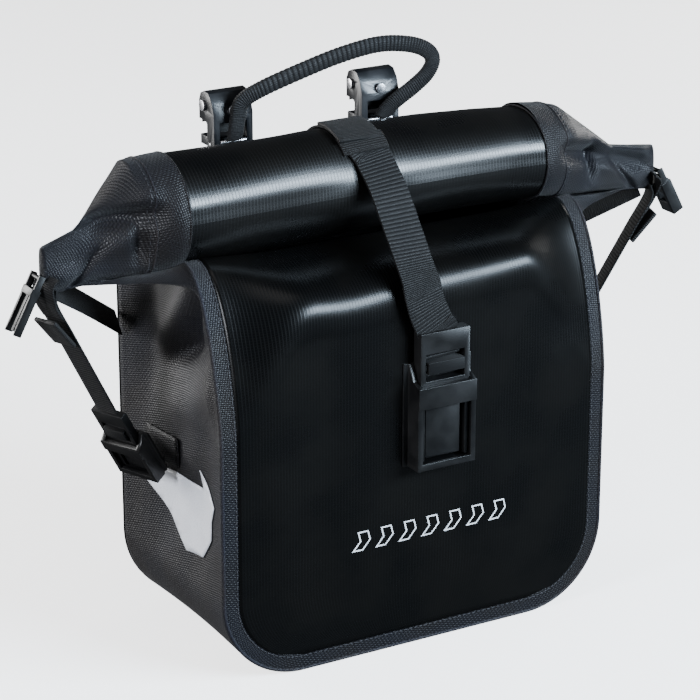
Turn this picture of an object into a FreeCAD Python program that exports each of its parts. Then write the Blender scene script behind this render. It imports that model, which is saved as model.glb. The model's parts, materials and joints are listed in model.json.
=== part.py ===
import FreeCAD, Part
import os
from math import cos, pi, radians, sin

from FreeCAD import Placement, Rotation, Vector

# Roll-top pannier bag. Millimetres, +Z up, origin on the floor under the middle of the body.
# The front panel faces -Y, the rack hooks are behind it on +Y.

# ---- body ----
body_width = 320.0
body_depth = 164.0
front_height = 286.0        # top edge of the front panel
back_height = 320.0         # top edge of the stiffened back
corner_radius = 65.0        # lower corners of the front and back outline
wall = 2.0                  # welded laminate, drawn thick enough to collide
neck_gap = 32.0             # mouth of the body under the roll
neck_height = 297.0
border_width = 20.0         # woven tape welded round the front panel
trim = 0.8                  # thickness of patches and tape
board_thickness = 2.5       # stiff sheet inside the back
board_margin = 6.0

# ---- roll closure ----
roll_radius = 40.0
roll_length = 300.0
roll_height = 338.0         # axis of the roll
tip_overhang = 92.0         # how far each flattened end stands out past the body
tip_band = 36.0             # height of the flattened end
tip_drop = 32.0             # how far the flattened end hangs under the roll's axis
batten_width = 26.0
batten_thickness = 2.0
gap = 0.4                   # clearance between pieces that move apart
tip_pivot_out = 5.0         # from the roll's end to the pin of the tip buckle
tip_pivot_drop = 4.0        # and below the middle of that end
tip_buckle_width = 24.0
tip_bar = 1.8               # radius of the pin that the tip tab holds
tip_clearance = 0.08
tip_lean = 28.0             # the tip buckles hang outwards, degrees

# ---- centre strap and buckles ----
strap_width = 30.0
side_strap_width = 20.0
strap_thickness = 1.8
strap_crest_x = -18.0       # the centre strap runs slightly askew, from here on the roll
socket_x = 11.0             # to here at the socket
socket_height = 143.0       # lower end of the centre socket
buckle_depth = 16.0
side_anchor_y = 26.0        # foot of each side socket on its gusset
side_anchor_z = 136.0
side_turn = 20.0            # side buckles face partly forwards, degrees
side_buckle_depth = 12.0
side_buckle_scale = 0.55    # length of a side buckle against the centre one
socket_length = 63.0
socket_side = 3.5           # moulded walls of a socket
socket_back = 2.5
socket_front = 3.0
socket_floor = 4.0
socket_band = 16.0          # raised band across the mouth
band_raise = 1.2
lip_share = 0.24            # side lips past the mouth, as a share of the socket's length
plate_edge = 4.0            # back plate past each side of the socket
plug_clearance = 0.35
plug_leg = 3.6
plug_head = 12.0            # plug past the mouth, and a share of the webbing more
plug_share = 0.9
slot_share = 0.27           # height of a webbing slot, as a share of the webbing
slot_bar = 4.0              # between the two slots
tongue_half = 2.0
barrel_radius = 1.5         # round root of the spring tongue
loop_thickness = 2.0        # webbing where it wraps the ladder bar
patch_width = 58.0
patch_height = 76.0

# ---- rack hooks ----
hook_spacing = 124.0
hook_width = 32.0
cheek = 5.0
rail_length = 260.0
rail_low = 294.0
rail_high = 316.0
rail_depth = 8.0
arm_front = 1.0             # from the back panel to the front of the hook arm
arm_depth = 11.0
jaw_depth = 12.0
jaw_floor = 352.0
jaw_roof = 364.0
hook_top = 386.0
tube_radius = 5.0           # rack tube that the lined jaw takes
pivot_radius = 1.6
pivot_clearance = 0.05
pivot_back = 3.7            # pivot ahead of the arm's rear face
finger = 7.0                # height of the latch finger that closes the jaw
finger_clearance = 0.6
finger_relief = 2.0         # slope on the finger that clears the arm as it opens
barrel = 3.0                # latch round its pivot
spring_radius = 2.6
spring_length = 8.0
hook_screw_radius = 2.0
hook_head_radius = 4.0
band_screw_radius = 1.8
band_head_radius = 3.8
screw_head = 1.8

# ---- handle ----
handle_width = 10.0
handle_thickness = 6.0
eye_radius = 3.4
handle_pin_radius = 1.5
pin_clearance = 0.08

# ---- lower hook ----
lower_rail_z = 104.0
lower_rail_length = 180.0
lower_rail_height = 16.0
screw_radius = 2.5
head_radius = 3.8           # sits inside the rail's channel
head_height = 2.6
washer_edge = 2.0
slider_half = 15.0
slider_depth = 8.0
swivel_radius = 4.0
swivel_clearance = 0.06
lower_hook_half = 9.0
lower_hook_drop = 50.0      # from the swivel to the underside of the hook
lower_hook_plate = 6.0
lower_hook_reach = 18.0
lower_hook_lip = 18.0

half_w = body_width / 2
half_d = body_depth / 2
tip_reach = half_w + tip_overhang
inner_back = half_d - wall - board_thickness


def box(x0, x1, y0, y1, z0, z1):
    return Part.makeBox(x1 - x0, y1 - y0, z1 - z0, Vector(x0, y0, z0))


def prism_x(outline, x0, x1):
    """A Y-Z outline pushed along X."""
    points = [Vector(x0, y, z) for y, z in outline]
    return Part.Face(Part.makePolygon(points + points[:1])).extrude(Vector(x1 - x0, 0, 0))


def rod(centre, direction, radius, length):
    """A cylinder centred on a point."""
    axis = Vector(*direction).normalize()
    return Part.makeCylinder(radius, length, Vector(*centre) - axis * (length / 2), axis)


def ribbon(stations, width, thickness, across):
    """A flat strap through the stations, its width along the across direction at each one."""
    points = [Vector(*p) for p in stations]
    sections = []
    for i, point in enumerate(points):
        before = points[max(i - 1, 0)]
        after = points[min(i + 1, len(points) - 1)]
        side = Vector(*(across[i] if isinstance(across[0], tuple) else across)).normalize()
        up = (after - before).normalize().cross(side).normalize()
        ring = [point + side * (a * width / 2) + up * (b * thickness / 2)
                for a, b in ((-1, -1), (1, -1), (1, 1), (-1, 1))]
        sections.append(Part.makePolygon(ring + ring[:1]))
    return Part.makeLoft(sections, True, True)


def save(node, solids):
    shapes = solids if isinstance(solids, list) else [solids]
    shape = shapes[0] if len(shapes) == 1 else Part.makeCompound(shapes)
    shape.exportStep("parts/%s.step" % node)


def outline_face(half_width, low, top, radius, y):
    """Upright outline with rounded lower corners, in a plane of constant Y."""
    def at(x, z):
        return Vector(x, y, z)

    slant = radius * (1 - cos(pi / 4))
    edges = [
        Part.LineSegment(at(-half_width, top), at(-half_width, low + radius)),
        Part.Arc(at(-half_width, low + radius), at(-half_width + slant, low + slant),
                 at(-half_width + radius, low)),
        Part.LineSegment(at(-half_width + radius, low), at(half_width - radius, low)),
        Part.Arc(at(half_width - radius, low), at(half_width - slant, low + slant),
                 at(half_width, low + radius)),
        Part.LineSegment(at(half_width, low + radius), at(half_width, top)),
        Part.LineSegment(at(half_width, top), at(-half_width, top)),
    ]
    return Part.Face(Part.Wire([edge.toShape() for edge in edges]))


def make_body():
    front_y = -half_d
    panel = outline_face(half_w, 0, front_height, corner_radius, front_y)
    save("front_panel", panel.extrude(Vector(0, wall, 0)))

    inset = 1.0
    tape_outer = outline_face(half_w - inset, inset, front_height, corner_radius - inset, front_y)
    edge = inset + border_width
    tape_inner = outline_face(half_w - edge, edge, front_height + 1, corner_radius - edge, front_y)
    tape = tape_outer.extrude(Vector(0, -trim, 0)).cut(tape_inner.extrude(Vector(0, -trim, 0)))
    save("front_border_tape", tape)

    band = outline_face(half_w, 0, back_height, corner_radius, front_y + wall)
    hollow = outline_face(half_w - wall, wall, back_height + 1, corner_radius - wall, front_y + wall)
    run = Vector(0, body_depth - 2 * wall, 0)
    over_roof = prism_x([(-half_d, front_height), (-neck_gap / 2, neck_height),
                         (neck_gap / 2, neck_height), (inner_back - gap, front_height),
                         (half_d, front_height), (half_d, back_height + 1),
                         (-half_d, back_height + 1)], -half_w - 5, half_w + 5)
    save("gusset_band", band.extrude(run).cut(hollow.extrude(run)).cut(over_roof))

    back = outline_face(half_w, 0, back_height, corner_radius, half_d - wall)
    back = back.extrude(Vector(0, wall, 0))
    board_edge = wall + board_margin
    board = outline_face(half_w - board_edge, board_edge, back_height - board_margin,
                         corner_radius - board_edge, inner_back)
    board = board.extrude(Vector(0, board_thickness, 0))
    for hole in [rod((x, half_d, z), (0, 1, 0), screw_radius + 0.1, 40) for x, z in screw_places()]:
        back = back.cut(hole)
        board = board.cut(hole)
    save("back_panel", back)
    save("back_stiffener_board", board)

    for name, edge_y in (("front_collar", -half_d), ("rear_collar", inner_back - gap)):
        side = 1 if edge_y > 0 else -1
        slope = [(edge_y, front_height), (side * neck_gap / 2, neck_height),
                 (side * neck_gap / 2, neck_height + wall), (edge_y, front_height + wall)]
        save(name, prism_x(slope, -half_w, half_w))


def make_side_patches():
    for name, side in (("left", -1), ("right", 1)):
        face = side * half_w
        y0 = side_anchor_y - patch_width / 2
        z0 = side_anchor_z - patch_height / 2
        x_in, x_out = sorted((face, face + side * trim))
        save(name + "_socket_patch", box(x_in, x_out, y0, y0 + patch_width, z0, z0 + patch_height))
        # The reflective print is a band that shows below and in front of the socket patch.
        low = z0 - 28
        bright = [(side_anchor_y + 38, z0 + 44), (side_anchor_y + 30, z0 - 12), (y0 - 2, low - 14),
                  (y0 - 30, low - 6), (y0 - 54, low + 22), (y0 - 58, z0 + 36), (y0 - 32, z0 + 48)]
        bright = prism_x(bright, x_in, x_out)
        patch = box(x_in - 1, x_out + 1, y0 - gap, y0 + patch_width + gap, z0 - gap,
                    z0 + patch_height + gap)
        save(name + "_reflective_patch", bright.cut(patch).Solids[0])


def tip_section(x, flat, height, centre_z):
    """A ring of points that goes from round to flat."""
    count = 16
    ring = [Vector(x, flat * cos(2 * pi * i / count), centre_z + height * sin(2 * pi * i / count))
            for i in range(count)]
    return Part.makePolygon(ring + ring[:1])


def make_roll():
    half = roll_length / 2
    roll = rod((0, 0, roll_height), (1, 0, 0), roll_radius, roll_length)
    slot = (batten_width + gap) / 2
    thick = (batten_thickness + gap) / 2
    roll = roll.cut(box(-half - 1, half + 1, -slot, slot, roll_height - thick, roll_height + thick))
    save("roll", roll)
    save("closure_batten", box(-half, half, -batten_width / 2, batten_width / 2,
                               roll_height - batten_thickness / 2, roll_height + batten_thickness / 2))
    shoulder = half + 0.26 * (tip_reach - half)
    fold = half + 0.73 * (tip_reach - half)
    end_z = roll_height - tip_drop
    for name, side in (("left", -1), ("right", 1)):
        rings = [tip_section(side * half, roll_radius, roll_radius, roll_height),
                 tip_section(side * shoulder, roll_radius - 3, roll_radius - 2, roll_height),
                 tip_section(side * fold, 10, tip_band / 2 + 1, end_z + 6),
                 tip_section(side * tip_reach, 4, tip_band / 2, end_z)]
        save(name + "_roll_end", Part.makeLoft(rings, True, True))


def arc_strap(inner, thickness, start, end, x_centre, width):
    """A strap lying round the roll, between two angles measured from +Y towards +Z."""
    def wire(radius):
        points = [Vector(x_centre - width / 2, radius * cos(radians(a)),
                         roll_height + radius * sin(radians(a))) for a in (start, (start + end) / 2, end)]
        return points

    low, high = wire(inner), wire(inner + thickness)
    edges = [Part.Arc(*low).toShape(), Part.LineSegment(low[2], high[2]).toShape(),
             Part.Arc(*high[::-1]).toShape(), Part.LineSegment(high[0], low[0]).toShape()]
    return Part.Face(Part.Wire(edges)).extrude(Vector(width, 0, 0))


def make_centre_strap():
    inner = roll_radius + gap
    save("centre_strap_over_roll",
         arc_strap(inner, strap_thickness, 40, 196, strap_crest_x, strap_width))
    keeper = inner + strap_thickness + 0.1
    save("strap_end_fold", arc_strap(keeper, strap_thickness, 80, 128, strap_crest_x, strap_width))

    out = inner + strap_thickness / 2
    rear_y = out * cos(radians(40)) + gap
    rear_z = roll_height + out * sin(radians(40)) - gap
    save("centre_strap_rear",
         ribbon([(strap_crest_x, half_d - 6, back_height + wall + 4), (strap_crest_x, rear_y, rear_z)],
                strap_width, strap_thickness, (1, 0, 0)))

    leave_y = out * cos(radians(196)) - 2 * gap
    leave_z = roll_height + out * sin(radians(196)) - 5 * gap
    plug_top = socket_height + buckle_length(strap_width)
    front_y = -half_d - buckle_depth / 2
    share = 0.7
    bend_x = strap_crest_x + share * (socket_x - strap_crest_x)
    save("centre_strap_front",
         ribbon([(strap_crest_x, leave_y, leave_z), (bend_x, front_y, front_height + 2),
                 (socket_x, front_y, plug_top + gap)], strap_width, strap_thickness, (1, 0, 0)))


def buckle_scale(web):
    return 1.0 if web > (strap_width + side_strap_width) / 2 else side_buckle_scale


def buckle_length(web):
    """From the foot of the socket to the top of the plug."""
    return socket_length * buckle_scale(web) + plug_head + plug_share * web


def make_buckle(web, depth):
    """Socket, ladder-lock plug, spring tongue and webbing loop in their own frame.

    X is across the webbing, -Y is away from the bag, Z is the way the plug pulls out.
    """
    length = socket_length * buckle_scale(web)
    band = socket_band * buckle_scale(web)
    outer = web / 2 + 9
    cavity = outer - socket_side
    mouth = length - band

    shell = box(-outer, outer, -depth, 0, 0, length)
    pocket = box(-cavity, cavity, -depth + socket_front, -socket_back, socket_floor, length + 1)
    window = box(-cavity + 0.5, cavity - 0.5, -depth - 1, -depth + socket_front + 1,
                 socket_floor + 1, mouth)
    lip = length * (1 + lip_share)
    lips = [prism_x([(0, 0), (0, lip), (-3, lip), (-depth * 0.55, length + 3), (-depth, length),
                     (-depth, 0)], x, x + socket_side) for x in (-outer, outer - socket_side)]
    plate = box(-outer - plate_edge, outer + plate_edge, -socket_back + 0.5, 0, 0, lip)
    raised = box(-outer, outer, -depth - band_raise, -depth, mouth, length)
    socket = shell.cut(pocket).cut(window).fuse(lips).fuse(plate).fuse(raised).removeSplitter()

    half = cavity - plug_clearance
    rear = -socket_back - plug_clearance
    face = -depth + socket_front + plug_clearance
    head = box(-half, half, face, rear, mouth + 2, buckle_length(web))
    legs = [box(x, x + plug_leg, face, rear, socket_floor + 2, length)
            for x in (-half, half - plug_leg)]
    slot_half = web / 2 + 1
    slot = slot_share * web
    low_slot = length + 3
    high_slot = low_slot + slot + slot_bar
    slots = [box(-slot_half, slot_half, face - 1, rear + 1, z, z + slot) for z in (low_slot, high_slot)]
    nose = half - plug_leg - plug_clearance
    root = mouth + barrel_radius + 0.5
    tongue_gap = box(-nose - plug_clearance, nose + plug_clearance, face - 1, rear + 1, 0,
                     root + barrel_radius + plug_clearance)
    plug = head.fuse(legs)
    for hole in slots + [tongue_gap]:
        plug = plug.cut(hole)
    plug = plug.removeSplitter()

    mid = (rear + face) / 2
    tongue = box(-nose + tongue_half, nose - tongue_half, mid - tongue_half, mid + barrel_radius,
                 socket_floor + 3, root)
    tongue = tongue.fuse(rod((0, mid, root), (1, 0, 0), barrel_radius, 2 * (nose - tongue_half)))

    bar_low, bar_high = low_slot + slot, high_slot
    wrap = loop_thickness
    strap_face = face - gap
    loop = []
    for y0, y1, z0, z1 in (
            (strap_face - strap_thickness, strap_face, bar_low - wrap - gap, bar_high + wrap + gap),
            (strap_face, rear - 0.5, bar_low - wrap - gap, bar_low - gap),
            (strap_face, rear - 0.5, bar_high + gap, bar_high + wrap + gap)):
        loop.append(box(-web / 2, web / 2, y0, y1, z0, z1))
    webbing = loop[0].fuse(loop[1:]).removeSplitter()
    return {"socket": socket, "plug": plug, "tongue": tongue.removeSplitter(), "webbing": webbing}


def side_frame(side):
    """Where a side buckle stands: on its gusset, leaning out towards the roll's end."""
    target = Vector(side * (tip_reach - 4), 0, roll_height - tip_drop - tip_band / 2 - 4)
    foot = Vector(side * (half_w + trim + socket_floor), side_anchor_y, side_anchor_z)
    up = (target - foot).normalize()
    turn = radians(side_turn)
    across = up.cross(Vector(side * cos(turn), -sin(turn), 0)).normalize()
    outward = across.cross(up)
    matrix = FreeCAD.Matrix(across.x, -outward.x, up.x, foot.x, across.y, -outward.y, up.y, foot.y,
                            across.z, -outward.z, up.z, foot.z, 0, 0, 0, 1)
    return Placement(matrix), foot, up, target


def make_buckles():
    centre = make_buckle(strap_width, buckle_depth)
    place = Placement(Vector(socket_x, -half_d, socket_height), Rotation())
    for part, node in (("socket", "centre_socket"), ("plug", "centre_plug"),
                       ("tongue", "centre_tongue"), ("webbing", "centre_strap_loop")):
        shape = centre[part].copy()
        shape.Placement = place
        save(node, shape)

    for name, side in (("left", -1), ("right", 1)):
        parts = make_buckle(side_strap_width, side_buckle_depth)
        place, foot, up, target = side_frame(side)
        for part in ("socket", "plug", "tongue", "webbing"):
            shape = parts[part].copy()
            shape.Placement = place
            if part == "socket":
                # A moulded foot fills the wedge between the leaning socket and its patch.
                outer = side_strap_width / 2 + 9
                toe = box(-outer, outer, -0.5, 24, -4, 12)
                toe.Placement = place
                beyond = side * (half_w + trim)
                inside = box(*sorted((beyond, beyond - side * 80)), -300, 300, 0, 500)
                shape = shape.fuse(toe).cut(inside).removeSplitter()
                shape = max(shape.Solids, key=lambda solid: solid.Volume)
            node = {"webbing": "_strap_loop"}.get(part, "_" + part)
            save(name + node, shape)
        start = place.multVec(Vector(0, -side_buckle_depth / 2, buckle_length(side_strap_width) + gap))
        across = place.Rotation.multVec(Vector(1, 0, 0))
        lift = place.Rotation.multVec(Vector(0, -side_buckle_depth / 2, 0))
        end = target + lift
        save(name + "_side_strap", ribbon([tuple(start), tuple(end)], side_strap_width,
                                          strap_thickness, tuple(across)))
        outward = place.Rotation.multVec(Vector(0, -1, 0))
        tail_from = end - up * 34 + outward * (1.5 * strap_thickness + gap)
        tail_to = end - up * 6 + outward * 9
        save(name + "_strap_tail", ribbon([tuple(tail_from), tuple(tail_to)], side_strap_width,
                                          strap_thickness * 2, tuple(across)))


def make_tip_buckles():
    """The two halves of the buckle that can join the roll's ends in a loop."""
    reach = tip_buckle_width / 2
    arm = 2.4
    inner = reach - arm
    base_low, base_high = -13.0, -8.0
    pivot_x = tip_reach + tip_pivot_out
    pivot_z = roll_height - tip_drop - tip_pivot_drop
    for name, side in (("left", -1), ("right", 1)):
        x0, x1 = sorted((side * tip_reach, side * (pivot_x + 4)))
        tab = box(x0, x1, -inner + gap, inner - gap, pivot_z - 4, pivot_z + 4)
        tab = tab.cut(rod((side * pivot_x, 0, pivot_z), (0, 1, 0), tip_bar + tip_clearance,
                          tip_buckle_width))
        save(name + "_tip_tab", tab)

        half = rod((0, 0, 0), (0, 1, 0), tip_bar, tip_buckle_width)
        half = half.fuse([box(-arm, arm, y, y + arm, base_low + 2, arm) for y in (inner, -reach)])
        half = half.fuse(box(-3.4, 3.4, -reach, reach, base_low, base_high))
        if side < 0:
            prong, prong_end = 3.4, -42.0
            outline = [(0, base_low + 1), (prong, base_low + 1), (prong, prong_end + 6),
                       (1.2, prong_end), (0, prong_end)]
            prongs = [prism_x([(start + turn * y, z) for y, z in outline], -3, 3)
                      for start, turn in ((-reach, 1), (reach, -1))]
            guide = box(-1.5, 1.5, -2.6, 2.6, prong_end + 2, base_low + 1)
            half = half.fuse(prongs).fuse(guide)
        else:
            shell_low = -38.0
            shell = box(-4.6, 4.6, -reach - 1, reach + 1, shell_low, base_high - 2)
            pocket = box(-3.2, 3.2, -reach + 1.5, reach - 1.5, shell_low - 1, base_low - 1)
            window = box(-6, 6, -reach + 5, reach - 5, shell_low + 10, shell_low + 20)
            half = half.fuse(shell).cut(pocket).cut(window)
        half = half.removeSplitter()
        half.Placement = Placement(Vector(side * pivot_x, 0, pivot_z),
                                   Rotation(Vector(0, 1, 0), -side * tip_lean))
        save(name + "_tip_buckle", half)


def hook_centres():
    return [("left", -hook_spacing / 2), ("right", hook_spacing / 2)]


def screw_places():
    """X and Z of the screws that hold both rails to the back."""
    upper = [(x, (rail_low + rail_high) / 2) for x in (-rail_length / 2 + 14, -14, 14,
                                                      rail_length / 2 - 14)]
    lower = [(x, lower_rail_z) for x in (-lower_rail_length / 2 + 12, lower_rail_length / 2 - 12)]
    return upper + lower


def make_rails():
    groove = 3.0
    for node, half, low, high in (
            ("upper_rail", rail_length / 2, rail_low, rail_high),
            ("lower_rail", lower_rail_length / 2, lower_rail_z - lower_rail_height / 2,
             lower_rail_z + lower_rail_height / 2)):
        rail = box(-half, half, half_d, half_d + rail_depth, low, high)
        channel = box(-half - 1, half + 1, half_d + rail_depth - groove, half_d + rail_depth + 1,
                      low + 4, high - 4)
        rail = rail.cut(channel)
        for x, z in screw_places():
            if low < z < high:
                rail = rail.cut(rod((x, half_d, z), (0, 1, 0), screw_radius + 0.1, 40))
        save(node, rail)
    caps = [box(*sorted((side * rail_length / 2, side * (rail_length / 2 + 3))), half_d,
                half_d + rail_depth, rail_low, rail_high) for side in (-1, 1)]
    save("rail_end_caps", caps)

    screws = []
    washers = []
    seat = half_d + rail_depth - groove
    for x, z in screw_places():
        length = seat - inner_back + head_height + 3
        shank = Part.makeCylinder(screw_radius, length, Vector(x, seat - length, z), Vector(0, 1, 0))
        head = Part.makeCylinder(head_radius, head_height, Vector(x, seat, z), Vector(0, 1, 0))
        screws.append(shank.fuse(head).removeSplitter())
        washer = Part.makeCylinder(head_radius + washer_edge, 1.2, Vector(x, inner_back - 1.2, z),
                                   Vector(0, 1, 0))
        washers.append(washer.cut(shank))
    save("rail_screws", screws)
    save("backing_washers", washers)


def hook_profile(front, rear, lip):
    """The hook seen from the side: a foot in the rail, the arm, and the jaw's roof and lip."""
    foot_front = half_d + rail_depth + 0.3
    return [(foot_front, rail_low - 4), (lip - 7, rail_low - 4), (lip - 7, rail_high + 10),
            (rear, rail_high + 17), (rear, jaw_roof), (lip, jaw_roof), (lip, hook_top - 8),
            (lip - 2.5, hook_top - 2.5), (lip - 8, hook_top), (front + 8, hook_top - 1),
            (front + 3, hook_top - 7), (front, hook_top - 16), (front, rail_high + 6),
            (foot_front, rail_high + 1)]


def make_latch(x, rear, lip, pivot):
    """A finger that shuts the jaw from below, on a barrel between the hook's cheeks."""
    half = hook_width / 2 - cheek - gap
    low = jaw_floor - finger
    across = rod(pivot, (1, 0, 0), barrel, 2 * half)
    latch = box(x - half, x + half, pivot.y, lip, low, jaw_floor).fuse(across)
    start = rear + finger_clearance
    wide = [(start, jaw_floor), (lip, jaw_floor), (lip, low), (start + finger_relief, low),
            (start, low + 1.7 * finger_relief)]
    reach = hook_width / 2 - 1
    latch = latch.fuse(prism_x(wide, x - reach, x + reach))
    latch = latch.cut(rod(pivot, (1, 0, 0), pivot_radius + pivot_clearance, hook_width))
    room = rod(pivot, (1, 0, 0), spring_radius + 1, spring_length + 2 * gap)
    room_half = spring_length / 2 + gap
    entry = box(x - room_half, x + room_half, pivot.y - 4, pivot.y + spring_radius + 1,
                pivot.z - 4, pivot.z + 4)
    latch = latch.cut(room.fuse(entry)).removeSplitter()
    return max(latch.Solids, key=lambda solid: solid.Volume)


def make_hooks():
    front = half_d + arm_front
    rear = front + arm_depth
    lip = rear + jaw_depth
    channel = hook_width / 2 - cheek
    liners, pins, pivots, springs, side_screws, band_screws = [], [], [], [], [], []
    for name, x in hook_centres():
        x0, x1 = x - hook_width / 2, x + hook_width / 2
        pivot = Vector(x, rear - pivot_back, jaw_floor - finger / 2 - 1.5)
        hook = prism_x(hook_profile(front, rear, lip), x0, x1)
        hook = hook.cut(box(x - channel, x + channel, front - 1, lip, rail_high + 10, jaw_roof - 2))
        hook = hook.cut(box(x - channel, x + channel, front - 1, front + 6, jaw_roof - 3, jaw_roof))
        screw_y, screw_z = lip - 7, (jaw_roof + hook_top) / 2
        side_screw = rod((x, screw_y, screw_z), (1, 0, 0), hook_screw_radius, hook_width)
        side_head = Part.makeCylinder(hook_head_radius, screw_head, Vector(x0, screw_y, screw_z),
                                      Vector(-1, 0, 0))
        band_screw = Part.makeCylinder(band_screw_radius, 9, Vector(x, front + 0.5, screw_z - 2),
                                       Vector(0, 1, 0))
        band_head = Part.makeCylinder(band_head_radius, screw_head,
                                      Vector(x, front + 0.5 - screw_head, screw_z - 2), Vector(0, 1, 0))
        side_screw = side_screw.fuse(side_head).removeSplitter()
        band_screw = band_screw.fuse(band_head).removeSplitter()
        pin = rod(pivot, (1, 0, 0), pivot_radius, hook_width)
        for cutter in (rod(pivot, (1, 0, 0), pivot_radius, hook_width + 2), side_screw, band_screw):
            hook = hook.cut(cutter)
        save(name + "_hook", max(hook.Solids, key=lambda solid: solid.Volume))
        side_screws.append(side_screw)
        band_screws.append(band_screw)
        pivots.append(pin)

        seat = Vector(x0 + 1, lip - tube_radius - 1, jaw_roof - 1 - tube_radius)
        liner = box(x0 + 1, x1 - 1, rear, lip - 2, jaw_roof - 10, jaw_roof)
        liner = liner.cut(Part.makeCylinder(tube_radius, hook_width, seat, Vector(1, 0, 0)))
        liner = liner.cut(box(x0, x1, seat.y, lip, jaw_roof - 12, seat.z))
        liners.append(max(liner.Solids, key=lambda solid: solid.Volume))

        save(name + "_latch", make_latch(x, rear, lip, pivot))
        springs.append(rod(pivot, (1, 0, 0), spring_radius, spring_length).cut(pin))
        pins.append(rod((x, front + 0.6, eye_height()), (1, 0, 0), handle_pin_radius,
                        2 * (channel - gap)))
    save("jaw_liners", liners)
    save("latch_pivots", pivots)
    save("latch_springs", springs)
    save("hook_side_screws", side_screws)
    save("hook_band_screws", band_screws)
    save("handle_pins", pins)


def eye_height():
    return jaw_floor - 2.5


def make_handle():
    """A ribbed webbing arch between the hooks that leans over to the right-hand hook."""
    front = half_d + arm_front
    eye_y = front + 0.6
    z = eye_height()
    run_y = front - handle_thickness / 2 - 3.5
    left, right = -hook_spacing / 2, hook_spacing / 2
    arch = [(left, eye_y - 2.5, z + 1.5), (left + 1, run_y + 0.5, z + 8), (left + 3, run_y, z + 24),
            (left + 10, run_y, z + 36), (left + 28, run_y, z + 46), (left + 62, run_y, z + 54),
            (left + 95, run_y, z + 60), (right - 2, run_y, z + 62), (right + 22, run_y, z + 57),
            (right + 38, run_y, z + 46), (right + 40, run_y, z + 36), (right + 30, run_y, z + 25),
            (right + 14, run_y, z + 15), (right + 3, run_y + 0.5, z + 7), (right, eye_y - 2.5, z + 1.5)]
    across = []
    for i in range(len(arch)):
        before, after = arch[max(i - 1, 0)], arch[min(i + 1, len(arch) - 1)]
        dx, dz = after[0] - before[0], after[2] - before[2]
        size = (dx * dx + dz * dz) ** 0.5
        across.append((dz / size, 0, -dx / size))
    across[0] = (1, 0, 0)
    across[-1] = (-1, 0, 0)
    webbing = ribbon(arch, handle_width, handle_thickness, across)
    for x in (left, right):
        webbing = webbing.fuse(rod((x, eye_y, z), (1, 0, 0), eye_radius, handle_width))
    for x in (left, right):
        bore = handle_pin_radius + pin_clearance
        webbing = webbing.cut(rod((x, eye_y, z), (1, 0, 0), bore, handle_width + 20))
    save("handle_webbing", webbing)


def make_lower_hook():
    rail_face = half_d + rail_depth
    z = lower_rail_z
    block = box(-slider_half, slider_half, rail_face + gap, rail_face + slider_depth, z - 12, z + 12)
    pin = Part.makeCylinder(swivel_radius, slider_depth + 7, Vector(0, rail_face + 5, z),
                            Vector(0, 1, 0))
    foot = box(-12, 12, rail_face - 2.6, rail_face + gap, z - 3.5, z + 3.5)
    save("lower_hook_slider", block.fuse(pin).fuse(foot).removeSplitter())

    y0 = rail_face + slider_depth + gap
    half = lower_hook_half
    low = z - lower_hook_drop
    high = low + lower_hook_plate
    end = y0 + lower_hook_reach
    hook = box(-half, half, y0, y0 + lower_hook_plate, high, z + half)
    hook = hook.fuse(box(-half, half, y0, end, low, high))
    hook = hook.fuse(box(-half, half, end - 4, end, low, low + lower_hook_lip))
    bore = swivel_radius + swivel_clearance
    hook = hook.cut(Part.makeCylinder(bore, 20, Vector(0, y0 - 4, z), Vector(0, 1, 0)))
    save("lower_hook", hook.removeSplitter())


os.makedirs("parts", exist_ok=True)
make_body()
make_side_patches()
make_roll()
make_centre_strap()
make_buckles()
make_tip_buckles()
make_rails()
make_hooks()
make_handle()
make_lower_hook()
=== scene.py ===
import json
from math import atan2, cos, exp, pi, radians, sin, sqrt

import bmesh
import bpy
from mathutils import Matrix, Vector


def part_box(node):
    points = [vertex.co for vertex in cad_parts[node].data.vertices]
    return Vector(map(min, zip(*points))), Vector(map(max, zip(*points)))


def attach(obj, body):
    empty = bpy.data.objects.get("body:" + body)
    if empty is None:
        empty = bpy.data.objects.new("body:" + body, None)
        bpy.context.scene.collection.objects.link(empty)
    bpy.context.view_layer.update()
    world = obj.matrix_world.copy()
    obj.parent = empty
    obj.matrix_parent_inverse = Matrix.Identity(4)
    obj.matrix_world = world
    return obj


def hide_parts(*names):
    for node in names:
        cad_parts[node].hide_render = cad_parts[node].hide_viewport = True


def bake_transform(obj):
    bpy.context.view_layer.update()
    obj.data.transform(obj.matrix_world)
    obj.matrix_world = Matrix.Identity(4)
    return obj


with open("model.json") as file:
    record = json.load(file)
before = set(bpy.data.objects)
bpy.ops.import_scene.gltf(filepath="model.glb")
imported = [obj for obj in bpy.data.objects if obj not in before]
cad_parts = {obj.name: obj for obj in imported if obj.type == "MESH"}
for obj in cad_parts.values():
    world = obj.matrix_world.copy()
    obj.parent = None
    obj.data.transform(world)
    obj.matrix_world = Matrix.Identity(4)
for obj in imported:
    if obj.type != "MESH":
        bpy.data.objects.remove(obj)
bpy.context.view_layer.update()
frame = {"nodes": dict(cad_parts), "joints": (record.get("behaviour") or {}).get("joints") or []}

# ---------------------------------------------------------------- camera, light and floor

camera = bpy.data.objects.new("camera", bpy.data.cameras.new("camera"))
bpy.context.scene.collection.objects.link(camera)
bpy.context.scene.camera = camera
camera.data.lens = 145.5
camera.data.sensor_width = 36.0
camera.location = (-0.9822, -1.6802, 0.9147)
look_at = Vector((-0.0121, 0.0, 0.2047))
camera.rotation_euler = (look_at - camera.location).to_track_quat("-Z", "Y").to_euler()


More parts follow.
